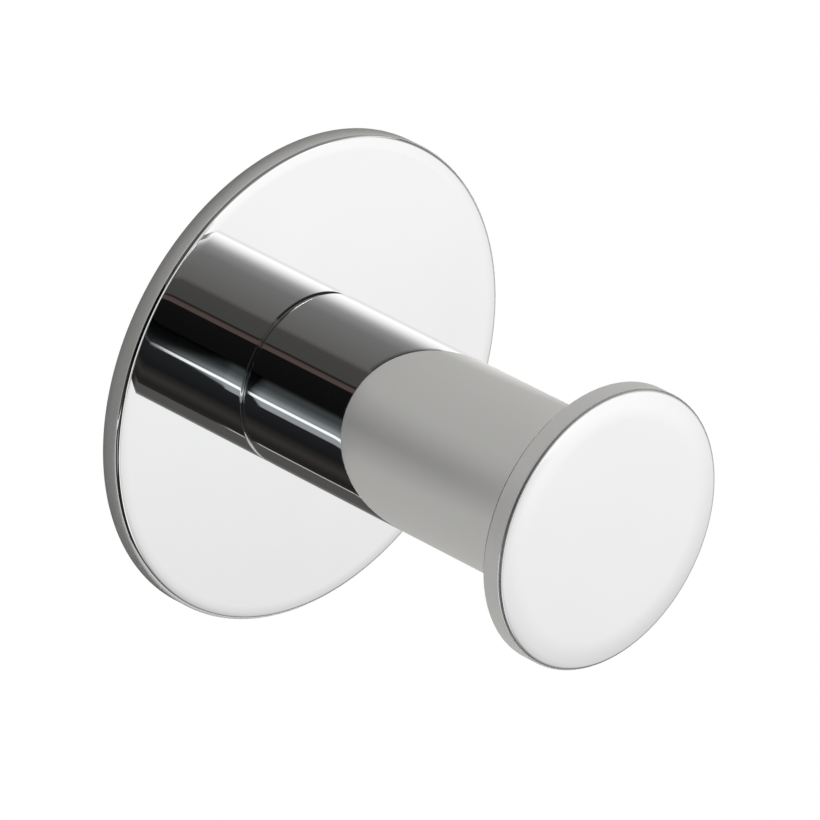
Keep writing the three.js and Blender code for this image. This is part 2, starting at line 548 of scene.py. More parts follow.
class NodeBench:
    """Adds and joins the nodes of one tree."""

    def __init__(self, tree: NodeTree) -> None:
        """Works on a node tree."""
        self.tree = tree

    def feed(self, target: NodeSocket, value: Value) -> None:
        """Sets an input to a number, a colour or a place, or links an output to it.

        Args:
            target: The input.
            value: What it gets.
        """
        if isinstance(value, NodeSocket):
            self.tree.links.new(value, target)
        else:
            target.default_value = (*value, 1.0) if target.type == "RGBA" else value

    def fill(self, node: Node, **inputs: Value) -> None:
        """Feeds inputs of a node by name, with underscores for spaces."""
        for name, value in inputs.items():
            self.feed(node.inputs[name.replace("_", " ")], value)

    def add(self, kind: str, **inputs: Value) -> Node:
        """Adds a node.

        Args:
            kind: The node's type name.
            **inputs: What its inputs get, as for fill.

        Returns:
            The new node.
        """
        node = self.tree.nodes.new(kind)
        self.fill(node, **inputs)
        return node

    def maths(self, operation: str, *values: Value) -> NodeSocket:
        """Works out one operation.

        Args:
            operation: The operation's name.
            *values: The values that it takes, in order.

        Returns:
            The output with the result.
        """
        node = self.add("ShaderNodeMath")
        node.operation = operation
        for socket, value in zip(node.inputs, values):
            self.feed(socket, value)
        return node.outputs[0]

    def spread(
        self, mask: Value, result: tuple[Value, Value] = UNIT, source: tuple[Value, Value] = UNIT
    ) -> NodeSocket:
        """Maps a mask onto a range.

        Args:
            mask: The mask.
            result: Results at the mask's lowest and highest value.
            source: The mask's own lowest and highest value.

        Returns:
            The output with the result, which stays within the range.
        """
        node = self.add("ShaderNodeMapRange", Value=mask, From_Min=source[0], From_Max=source[1])
        self.fill(node, To_Min=result[0], To_Max=result[1])
        return node.outputs["Result"]

    def blend(self, mask: Value, first: Value, second: Value) -> NodeSocket:
        """Blends two colours.

        Args:
            mask: Share of the second colour.
            first: First colour.
            second: Second colour.

        Returns:
            The output with the blended colour.
        """
        node = self.add("ShaderNodeMix")
        node.data_type = "RGBA"
        self.feed(node.inputs[0], mask)
        colours = (socket for socket in node.inputs if socket.type == "RGBA")
        for socket, colour in zip(colours, (first, second)):
            self.feed(socket, colour)
        return next(socket for socket in node.outputs if socket.type == "RGBA")

    def place(self) -> NodeSocket:
        """Gives the output with a point's place in the hook's frame."""
        return self.add("ShaderNodeTexCoord").outputs["Object"]

    def parts(self, vector: NodeSocket) -> tuple[NodeSocket, ...]:
        """Splits a vector into outputs with its X, Y and Z."""
        return tuple(self.add("ShaderNodeSeparateXYZ", Vector=vector).outputs)

    def noise(self, vector: NodeSocket, **inputs: Value) -> NodeSocket:
        """Gives the output with a noise at a place; the other inputs are as for fill."""
        return self.add("ShaderNodeTexNoise", Vector=vector, **inputs).outputs["Fac"]

    def lathe_place(self) -> tuple[NodeSocket, NodeSocket, NodeSocket]:
        """Finds where a point lies about the hook's axis.

        Returns:
            Outputs with its radius, its angle and its place along Y.
        """
        across, level, upright = self.parts(self.place())
        squares = [self.maths("MULTIPLY", part, part) for part in (across, upright)]
        radius = self.maths("SQRT", self.maths("ADD", *squares))
        return radius, self.maths("ARCTAN2", upright, across), level


class MaterialBench(NodeBench):
    """Adds and joins the nodes of one new material, which starts as a plain surface."""

    def __init__(self, name: str) -> None:
        """Makes the material.

        Args:
            name: Its name.
        """
        self.material = bpy.data.materials.new(name)
        self.material.use_nodes = True
        super().__init__(self.material.node_tree)
        self.shader = self.tree.nodes["Principled BSDF"]
        self.output = self.tree.nodes["Material Output"]


# Node groups for effects on a surface


class Effect(str, Enum):
    """Names of the effects on a surface."""

    BUFFING = "buffing_marks"
    TOOL_RINGS = "tool_rings"
    HANDLING = "handling_film"
    EDGE_WEAR = "edge_wear"


class EffectShelf:
    """Builds each effect once and places it in the materials that have it."""

    RING_NOISE = (0.3, 0.7)
    RING_DEPTHS = (0.25, 0.5)
    FILM_SOFTNESS = 0.2
    LEAST_WEAR = 0.02

    def __init__(self) -> None:
        """Builds every effect."""
        self._groups = {
            Effect.BUFFING: self._buffing(),
            Effect.TOOL_RINGS: self._tool_rings(),
            Effect.HANDLING: self._handling(),
            Effect.EDGE_WEAR: self._edge_wear(),
        }

    def place(self, bench: NodeBench, effect: Effect, **inputs: Value) -> Node:
        """Places an effect in a material.

        Args:
            bench: The material's nodes.
            effect: The effect to place.
            **inputs: What its inputs get, by name, with underscores for spaces.

        Returns:
            The group node.
        """
        node = bench.add("ShaderNodeGroup")
        node.node_tree = self._groups[effect]
        bench.fill(node, **inputs)
        return node

    @staticmethod
    def _start(
        effect: Effect, inputs: dict[str, float], outputs: Sequence[str]
    ) -> tuple[NodeBench, Node, Node]:
        """Makes an empty group with named value sockets.

        Args:
            effect: The effect that it makes.
            inputs: Its inputs with their usual values.
            outputs: Its outputs.

        Returns:
            The group's nodes, its input node and its output node.
        """
        tree = bpy.data.node_groups.new(effect.value, "ShaderNodeTree")
        for name, value in inputs.items():
            socket = tree.interface.new_socket(name, in_out="INPUT", socket_type="NodeSocketFloat")
            socket.default_value = value
        for name in outputs:
            tree.interface.new_socket(name, in_out="OUTPUT", socket_type="NodeSocketFloat")
        bench = NodeBench(tree)
        return bench, bench.add("NodeGroupInput"), bench.add("NodeGroupOutput")

    def _buffing(self) -> NodeTree:
        """Hair-fine marks that run round the piece, and the slow waviness that a soft wheel leaves.

        Returns:
            The group, with the marks and the waviness as heights of 0 to 1.
        """
        usual = {"Mark Scale": 9000.0, "Mark Length": 0.0006, "Wave Scale": 45.0}
        bench, given, wanted = self._start(Effect.BUFFING, usual, ("Marks", "Waves"))
        radius, angle, level = bench.lathe_place()
        length = bench.maths("MULTIPLY", angle, given.outputs["Mark Length"])
        thread = bench.add("ShaderNodeCombineXYZ", X=radius, Y=level, Z=length).outputs["Vector"]
        marks = bench.noise(thread, Scale=given.outputs["Mark Scale"], Detail=2.0, Roughness=0.5)
        waves = bench.noise(bench.place(), Scale=given.outputs["Wave Scale"], Detail=1.0, Roughness=0.4)
        bench.fill(wanted, Marks=marks, Waves=waves)
        return bench.tree

    def _tool_rings(self) -> NodeTree:
        """Concentric marks of a lathe tool about the hook's axis, uneven in depth.

        Returns:
            The group, with the rings as a height of 0 to 1.
        """
        bench, given, wanted = self._start(Effect.TOOL_RINGS, {"Rings Per Metre": 5000.0}, ("Rings",))
        radius, _, level = bench.lathe_place()
        turns = bench.maths("MULTIPLY", bench.maths("ADD", radius, level), given.outputs["Rings Per Metre"])
        wave = bench.maths("SINE", bench.maths("MULTIPLY", turns, FULL_TURN))
        uneven = bench.noise(bench.place(), Scale=600.0, Detail=3.0)
        depth = bench.spread(uneven, self.RING_DEPTHS, self.RING_NOISE)
        bench.fill(wanted, Rings=bench.maths("MULTIPLY", bench.maths("ADD", wave, 1.0), depth))
        return bench.tree

    def _handling(self) -> NodeTree:
        """Thin film that handling and wiping leave, in soft uneven patches.

        Returns:
            The group, with the film as a mask of 0 to 1.
        """
        bench, given, wanted = self._start(Effect.HANDLING, {"Patch Scale": 70.0, "Cover": 0.5}, ("Film",))
        scale = given.outputs["Patch Scale"]
        patches = bench.noise(bench.place(), Scale=scale, Detail=5.0, Roughness=0.6, Distortion=0.4)
        edge = bench.maths("SUBTRACT", 1.0, given.outputs["Cover"])
        source = tuple(bench.maths(side, edge, self.FILM_SOFTNESS) for side in ("SUBTRACT", "ADD"))
        bench.fill(wanted, Film=bench.spread(patches, source=source))
        return bench.tree

    def _edge_wear(self) -> NodeTree:
        """Wear where the surface of a turned piece goes over from a flat face to a round wall.

        Returns:
            The group, with the wear as a mask of 0 to 1.
        """
        bench, given, wanted = self._start(Effect.EDGE_WEAR, {"Full Wear": 0.15}, ("Wear",))
        _, level, _ = bench.parts(bench.add("ShaderNodeNewGeometry").outputs["Normal"])
        flat = bench.maths("MULTIPLY", level, level)
        edge = bench.maths("MULTIPLY", flat, bench.maths("SUBTRACT", 1.0, flat))
        worn = bench.maths("SUBTRACT", edge, self.LEAST_WEAR)
        wear = bench.maths("DIVIDE", worn, given.outputs["Full Wear"])
        bench.fill(wanted, Wear=bench.spread(wear))
        return bench.tree


# Finishes


@dataclass(frozen=True)
class MetalFinish:
    """A bare or plated metal surface.

    Attributes:
        slot: The record's slot that it stands for; not used.
        name: The material's name.
        clean: Colour where it is clean.
        filmed: Colour where it has a film on it.
        clean_rough: Roughness where it is clean.
        filmed_rough: Roughness where it has a film on it.
        mark_depth: Depth of the buffing marks, in metres.
        wave_depth: Depth of the waviness, in metres, or 0 for a surface without it.
        ring_depth: Depth of the tool rings, in metres, or 0 for a surface without them.
        patch_scale: How small the patches of film are.
        edge_rough: Roughness along worn edges, or 0 for edges like the rest.
    """

    slot: Slot
    name: str
    clean: Colour
    filmed: Colour
    clean_rough: float
    filmed_rough: float
    mark_depth: float
    wave_depth: float = 0.0
    ring_depth: float = 0.0
    patch_scale: float = 70.0
    edge_rough: float = 0.0

    def material(self, shelf: EffectShelf) -> Material:
        """Builds the material.

        Args:
            shelf: The effects.

        Returns:
            The new material.
        """
        bench = MaterialBench(self.name)
        film = shelf.place(bench, Effect.HANDLING, Patch_Scale=self.patch_scale).outputs["Film"]
        colour = bench.blend(film, self.clean, self.filmed)
        rough = bench.spread(film, (self.clean_rough, self.filmed_rough))
        if self.edge_rough:
            wear = shelf.place(bench, Effect.EDGE_WEAR).outputs["Wear"]
            rough = bench.spread(wear, (rough, self.edge_rough))
        buffing = shelf.place(bench, Effect.BUFFING)
        height = bench.maths("MULTIPLY", buffing.outputs["Marks"], self.mark_depth)
        if self.wave_depth:
            waves = bench.maths("MULTIPLY", buffing.outputs["Waves"], self.wave_depth)
            height = bench.maths("ADD", height, waves)
        if self.ring_depth:
            rings = shelf.place(bench, Effect.TOOL_RINGS).outputs["Rings"]
            height = bench.maths("ADD", height, bench.maths("MULTIPLY", rings, self.ring_depth))
        relief = bench.add("ShaderNodeBump", Height=height, Strength=1.0, Distance=1.0).outputs["Normal"]
        bench.fill(bench.shader, Base_Color=colour, Metallic=1.0, Roughness=rough, Normal=relief)
        return bench.material


MIRROR_STEEL = MetalFinish(
    slot=Slot.MIRROR,
    name="mirror_polished_steel",
    clean=(0.880, 0.880, 0.882),
    filmed=(0.865, 0.865, 0.868),
    clean_rough=0.012,
    filmed_rough=0.035,
    mark_depth=0.00000001,
    wave_depth=0.0000004,
)
HANDLED_STEEL = replace(MIRROR_STEEL, name="handled_steel", edge_rough=0.40)
TURNED_STEEL = MetalFinish(
    slot=Slot.TURNED,
    name="turned_steel",
    clean=(0.70, 0.695, 0.68),
    filmed=(0.60, 0.595, 0.58),
    clean_rough=0.24,
    filmed_rough=0.36,
    mark_depth=0.0000006,
    ring_depth=0.000004,
    edge_rough=0.18,
)
ZINC_PLATED = MetalFinish(
    slot=Slot.ZINC,
    name="zinc_plated_steel",
    clean=(0.74, 0.735, 0.70),
    filmed=(0.58, 0.58, 0.57),
    clean_rough=0.24,
    filmed_rough=0.42,
    mark_depth=0.000001,
    patch_scale=420.0,
)
DARK_STEEL = MetalFinish(
    slot=Slot.DARK,
    name="dark_oxide_steel",
    clean=(0.30, 0.305, 0.32),
    filmed=(0.20, 0.202, 0.21),
    clean_rough=0.26,
    filmed_rough=0.46,
    mark_depth=0.000001,
    patch_scale=600.0,
)


class FinishRack:
    """Makes each finish's material once."""

    def __init__(self) -> None:
        """Makes every material."""
        shelf = EffectShelf()
        finishes = (MIRROR_STEEL, HANDLED_STEEL, TURNED_STEEL, ZINC_PLATED, DARK_STEEL)
        self._materials = {finish.name: finish.material(shelf) for finish in finishes}

    def of(self, finish: MetalFinish) -> Material:
        """Gives the material of a finish."""
        return self._materials[finish.name]


# Sub-assemblies


@dataclass(kw_only=True)
class Piece(ABC):
    """Piece of the hook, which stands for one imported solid.

    Attributes:
        name: Its name.
        solid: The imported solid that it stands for.
        coats: Its finishes, in the order of Face.
        segments: Segments of its turned mesh.
    """

    name: str
    solid: Solid
    coats: Sequence[MetalFinish] = (MIRROR_STEEL, TURNED_STEEL)
    segments: int = 768

    @property
    def reach(self) -> Reach:
        """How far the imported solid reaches."""
        return Reach.of(self.solid)

    @abstractmethod
    def draft(self) -> MeshDraft:
        """Drafts the piece's mesh."""

    def build(self, finishes: FinishRack) -> None:
        """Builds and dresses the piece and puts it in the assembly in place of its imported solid.

        Args:
            finishes: The materials.
        """
        piece = self.draft().finished(*(finishes.of(coat) for coat in self.coats))
        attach(piece, BODY)
        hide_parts(self.solid.value)
        LOG.info("%s: %d faces, stands for %s", piece.name, len(piece.data.polygons), self.solid.value)


@dataclass(kw_only=True)
class BackPlate(Piece):
    """Disc on the wall, buffed on its front and edge and left as turned on its back.

    Attributes:
        hole: Radius of the hole for the boss.
        brink: Form of the front edge.
        wall_edge: Width of the broken edge at the wall.
    """

    name: str = "plate"
    solid: Solid = Solid.BACK_PLATE
    hole: float = 4.7 * MM
    brink: Brink = Brink(roll=17.0 * MM, slope=4.0, edge=0.5 * MM)
    wall_edge: float = 0.06 * MM

    def draft(self) -> MeshDraft:
        """Drafts the plate's mesh.

        Returns:
            The draft.
        """
        rim, face = self.reach.radius, self.reach.front_end
        outline = Outline(self.hole, 0.0)
        outline.flat(rim - self.wall_edge, 0.0, Face.MACHINED)
        outline.flat(rim, self.wall_edge)
        outline.run().over(rim, face, self.brink).to(self.hole, face)
        outline.flat(self.hole, 0.0, Face.MACHINED)
        return MeshDraft(self.name, self.segments, outline)


@dataclass(frozen=True)
class CrossHole:
    """Hole through one wall of the stem, square to its axis.

    Attributes:
        distance: Distance of its axis from the wall.
        radius: Its radius.
        mouth: Width of the broken edge at its outer end.
        half_length: Half the length, along the stem, of the surface that is fitted round it.
        half_steps: Half the segments, round the stem, of that surface.
        rows: Rows of faces along that surface.
        fitting_rings: Rings of faces from the rim of that surface to the hole.
    """

    distance: float
    radius: float
    mouth: float = 0.15 * MM
    half_length: float = 2.5 * MM
    half_steps: int = 48
    rows: int = 16
    fitting_rings: int = 4

    def levels(self) -> list[float]:
        """Gives the distances of the rows' ends."""
        start = self.distance - self.half_length
        return [start + 2.0 * self.half_length * row / self.rows for row in range(self.rows + 1)]

    def rim(self) -> list[tuple[int, int]]:
        """Goes once round the fitted surface.

        Returns:
            Step round the stem, from the hole's middle, and row of each corner on its rim.
        """
        half, rows = self.half_steps, self.rows
        walk = [(step, 0) for step in range(-half, half)]
        walk += [(half, row) for row in range(rows)]
        walk += [(step, rows) for step in range(half, -half, -1)]
        walk += [(-half, row) for row in range(rows, 0, -1)]
        return walk

    def bearings(self) -> list[float]:
        """Gives the angle about the hole's axis of each corner on the rim."""
        middle = self.rows / 2.0
        return [math.atan2((row - middle) / middle, step / self.half_steps) for step, row in self.rim()]

    def place(self, radius: float, bearing: float) -> Pair:
        """Gives the place across and along the stem at a radius and angle about the hole's axis."""
        return radius * math.cos(bearing), self.distance + radius * math.sin(bearing)

    def inward(self, place: Vector) -> Vector:
        """Points from a place on the hole's wall to the hole's axis."""
        return Vector((-place.x, -self.distance - place.y, 0.0)).normalized()


@dataclass(kw_only=True)
class Stem(Piece):
    """Polished bar with a rolled foot, bored for the boss and the stud and drilled for the grub screw.

    Its segments are a multiple of four.

    Attributes:
        bore: Radius of the bore that goes over the boss.
        bore_end: Distance of the bore's end from the wall.
        bore_point: Distance of the tip of the bore's drill point.
        stud_hole: Radius of the hole for the stud.
        stud_hole_end: Distance of that hole's end from the wall.
        stud_hole_point: Distance of the tip of the stud hole's drill point.
        foot_brink: Form of the edge on the plate.
        front_break: Width of the broken edge under the head.
        thread_room: Room between the grub screw and its hole.
    """

    name: str = "stem_bar"
    solid: Solid = Solid.STEM
    bore: float = 6.6 * MM
    bore_end: float = 16.3 * MM
    bore_point: float = 20.2 * MM
    stud_hole: float = 3.1 * MM
    stud_hole_end: float = 33.25 * MM
    stud_hole_point: float = 31.4 * MM
    foot_brink: Brink = Brink(roll=208.0 * MM, slope=0.75, edge=0.45 * MM)
    front_break: float = 0.12 * MM
    thread_room: float = 0.1 * MM

    def draft(self) -> MeshDraft:
        """Drafts the stem's mesh.

        Returns:
            The draft.
        """
        grub = Reach.of(Solid.GRUB_SCREW)
        hole = CrossHole(grub.middle, grub.radius + self.thread_room)
        rim, foot, front = self.reach.radius, self.reach.wall_end, self.reach.front_end
        brink = front - self.front_break

        base = Outline(self.bore, foot)
        base.run(Face.MACHINED).heel(rim, foot, self.foot_brink)
        end = Outline(rim, brink)
        end.flat(rim - self.front_break, front)
        end.flat(self.stud_hole, front, Face.MACHINED)
        end.flat(self.stud_hole, self.stud_hole_end, Face.MACHINED)
        end.flat(0.0, self.stud_hole_point, Face.MACHINED)
        inside = Outline(0.0, self.bore_point)
        inside.flat(self.bore, self.bore_end, Face.MACHINED)

        draft = MeshDraft(self.name, self.segments, base, end, inside)
        mouth = self._drilled(draft, hole, rim, (base.pen[1], brink), 1.0, hole.radius + hole.mouth)
        inner = self._drilled(draft, hole, self.bore, (foot, self.bore_end), -1.0, hole.radius)
        self._hole_wall(draft, hole, mouth, inner)
        return draft

    def _drilled(
        self, draft: MeshDraft, hole: CrossHole, radius: float, ends: Pair, side: float, opening: float
    ) -> list[int]:
        """Adds a round wall of the stem with the hole left open in it.

        Args:
            draft: The stem's draft.
            hole: The hole.
            radius: Radius of the wall.
            ends: Distances of the wall's ends.
            side: 1 for a wall that looks outwards, -1 for one that looks inwards.
            opening: Radius of the opening.

        Returns:
            Numbers of the corners round the opening.
        """
        finish = Face.POLISHED if side > 0.0 else Face.MACHINED
        normal = (side, 0.0)
        lowest = self.segments * 3 // 4  # Three quarters of a turn from +X is straight down
        inside = range(lowest - hole.half_steps, lowest + hole.half_steps)
        beside = [step for step in range(self.segments) if step not in inside]
        levels = hole.levels()
        for near, far in zip([ends[0], *levels], [*levels, ends[1]]):
            whole = near == ends[0] or far == ends[1]
            draft.band(((radius, near), (radius, far)), (normal, normal), finish, None if whole else beside)

        rim = [draft.ring((radius, levels[row]))[lowest + step] for step, row in hole.rim()]
        last = rim
        for ring in range(1, hole.fitting_rings + 1):
            made = []
            for number, bearing in zip(rim, hole.bearings()):
                start = draft.corners[number]
                stop = hole.place(opening, bearing)
                across, distance = mixed((start.x, -start.y), stop, ring / hole.fitting_rings)
                made.append(draft.corner(Vector((across, -distance, -math.sqrt(radius**2 - across**2)))))
            draft.stitch(last, made, lambda place: side * Vector((place.x, 0.0, place.z)), finish)
            last = made
        return last

    def _hole_wall(self, draft: MeshDraft, hole: CrossHole, mouth: list[int], inner: list[int]) -> None:
        """Adds the broken edge and the wall of the hole.

        Args:
            draft: The stem's draft.
            hole: The hole.
            mouth: Corners round the outer opening.
            inner: Corners round the inner opening.
        """
        throat = []
        for number, bearing in zip(mouth, hole.bearings()):
            across, distance = hole.place(hole.radius, bearing)
            throat.append(draft.corner(Vector((across, -distance, draft.corners[number].z + hole.mouth))))
        draft.stitch(mouth, throat, lambda place: hole.inward(place) - UP, Face.POLISHED)
        draft.stitch(throat, inner, hole.inward, Face.MACHINED)


@dataclass(kw_only=True)
class Head(Piece):
    """Flat disc at the front with both edges rounded, and a seat for the stud in its back.

    Attributes:
        brink: Form of the front edge.
        back_edge: Radius of the edge at the back.
        seat: Radius of the seat for the stud.
        seat_depth: Depth of that seat.
    """

    name: str = "head"
    solid: Solid = Solid.HEAD_DISC
    coats: Sequence[MetalFinish] = (HANDLED_STEEL, TURNED_STEEL)
    brink: Brink = Brink(roll=36.0 * MM, slope=4.6, edge=0.45 * MM)
    back_edge: float = 0.36 * MM
    seat: float = 3.1 * MM
    seat_depth: float = 1.2 * MM

    def draft(self) -> MeshDraft:
        """Drafts the head's mesh.

        Returns:
            The draft.
        """
        rim, back, face = self.reach.radius, self.reach.wall_end, self.reach.front_end
        edge = self.back_edge
        outline = Outline(0.0, back + self.seat_depth)
        outline.flat(self.seat, back + self.seat_depth, Face.MACHINED)
        outline.flat(self.seat, back, Face.MACHINED)
        outline.flat(rim - edge, back)
        outline.arc((rim - edge, back + edge), edge, -QUARTER, 0.0, Brink.EDGE_STEPS)
        outline.over(rim, face, self.brink).to(0.0, face)
        return MeshDraft(self.name, self.segments, outline)


@dataclass(kw_only=True)
class MountingBoss(Piece):
    """Turned spigot that the screw holds to the wall: pilot, shoulder, V groove and countersunk hole.

    Attributes:
        shoulder: Distance of the shoulder, which clamps the plate, from the wall.
        pilot: Radius of the pilot in the plate.
        screw_hole: Radius of the hole for the screw.
        sink_mouth: Radius of the countersink's mouth.
        groove_depth: Depth of the V groove.
        groove_flat: Half the width of the groove's bottom.
        chamfer: Width of the chamfer at the front.
    """

    name: str = "boss"
    solid: Solid = Solid.MOUNTING_BOSS
    coats: Sequence[MetalFinish] = (TURNED_STEEL,)
    segments: int = 128
    shoulder: float = field(default_factory=lambda: Reach.of(Solid.BACK_PLATE).front_end)
    pilot: float = 4.6 * MM
    screw_hole: float = 2.5 * MM
    sink_mouth: float = 4.65 * MM
    groove_depth: float = 0.9 * MM
    groove_flat: float = 0.6 * MM
    chamfer: float = 0.6 * MM

    def draft(self) -> MeshDraft:
        """Drafts the boss's mesh.

        Returns:
            The draft.
        """
        rim, back, front = self.reach.radius, self.reach.wall_end, self.reach.front_end
        groove = Reach.of(Solid.GRUB_SCREW).middle
        groove_mouth = self.groove_flat + self.groove_depth
        corners = (
            (self.pilot, back),
            (self.pilot, self.shoulder),
            (rim, self.shoulder),
            (rim, groove - groove_mouth),
            (rim - self.groove_depth, groove - self.groove_flat),
            (rim - self.groove_depth, groove + self.groove_flat),
            (rim, groove + groove_mouth),
            (rim, front - self.chamfer),
            (rim - self.chamfer, front),
            (self.sink_mouth, front),
            (self.screw_hole, front - (self.sink_mouth - self.screw_hole)),
            (self.screw_hole, back),
        )
        outline = Outline(self.screw_hole, back)
        for corner in corners:
            outline.flat(*corner)
        return MeshDraft(self.name, self.segments, outline)


class Drive(Enum):
    """Forms of a recess for the tool."""

    CROSS = "cross"
    HEX = "hex"


@dataclass(frozen=True)
class Recess:
    """Recess for the tool in the end of a screw.

    Attributes:
        drive: Its form.
        size: Half the span of a cross, or half the width across the flats of a hexagon.
        depth: Its depth.
        floor: Share of its width that it keeps at its floor.
        arm: Half the width of a cross's arms.
    """

    drive: Drive
    size: float
    depth: float
    floor: float
    arm: float = 0.0

    HEX_SIDES = 6

    def reach(self, share: float, angle: float) -> float:
        """Gives how far the recess reaches from the screw's axis.

        Args:
            share: Share of its full width.
            angle: Angle about the axis.

        Returns:
            The distance.
        """
        size, arm = self.size * share, self.arm * share
        if self.drive is Drive.HEX:
            side = FULL_TURN / self.HEX_SIDES
            return size / math.cos((angle + side / 2.0) % side - side / 2.0)
        beside, along = sorted((abs(math.cos(angle)), abs(math.sin(angle))))
        return min(size / along, arm / max(beside, arm / size))


@dataclass(frozen=True)
class Thread:
    """Helical thread cut into a round blank.

    Attributes:
        pitch: Distance from one turn to the next.
        depth: Depth of the thread.
        ridge: Share of the pitch that the ridge takes up at its foot.
        runout: Length over which it fades at each end.
        start: Distance along the axis where it starts.
        stop: Distance along the axis where it stops.
    """

    pitch: float
    depth: float
    ridge: float
    runout: float
    start: float = 0.0
    stop: float = 0.0

    MOST_OF_BLANK = 0.5
    ROWS_PER_PITCH = 12

    def radius(self, blank: float, distance: float, angle: float) -> float:
        """Gives the radius of the threaded surface.

        Args:
            blank: Radius of the blank there.
            distance: Distance along the axis.
            angle: Angle about the axis.

        Returns:
            The radius.
        """
        turn = (distance / self.pitch - angle / FULL_TURN) % 1.0
        ridge = max(0.0, 1.0 - abs(2.0 * turn - 1.0) / self.ridge)
        ends = min(distance - self.start, self.stop - distance) / self.runout
        depth = min(self.depth * min(1.0, max(0.0, ends)), blank * self.MOST_OF_BLANK)
        return blank - depth * (1.0 - ridge)

    def rows(self, near: Pair, far: Pair) -> int:
        """Gives how many rows of faces lie between two corners of the blank.

        Args:
            near: Radius and distance of the first corner.
            far: Radius and distance of the second.

        Returns:
            The number, which is one where there is no thread.
        """
        if near[1] >= self.stop or far[1] <= self.start:
            return 1
        return max(1, math.ceil((far[1] - near[1]) / self.pitch * self.ROWS_PER_PITCH))


@dataclass(kw_only=True)
class ThreadedPiece(Piece):
    """Screw or stud: a turned blank with a helical thread and, in its far end, a recess for the tool.

    Attributes:
        blank: Radius and distance of the blank's corners, from its point to the end with the recess.
        thread: Its thread.
        recess: Its recess, if it has one.
        axis: Its axis.
    """

    segments: int = 96
    blank: Sequence[Pair]
    thread: Thread
    recess: Optional[Recess] = None
    axis: Axis = HOOK_AXIS

    def draft(self) -> MeshDraft:
        """Drafts the piece's mesh.

        Returns:
            The draft.
        """
        draft = MeshDraft(self.name, self.segments, axis=self.axis)
        rings = []
        for radius, distance in refined(self.blank, self.thread.rows):
            rings.append(draft.around(distance, partial(self.thread.radius, radius, distance)))
        if self.recess:
            end = self.blank[-1][1]
            for share, depth in ((1.0, 0.0), (self.recess.floor, self.recess.depth)):
                rings.append(draft.around(end - depth, partial(self.recess.reach, share)))
        draft.loft(rings)
        return draft


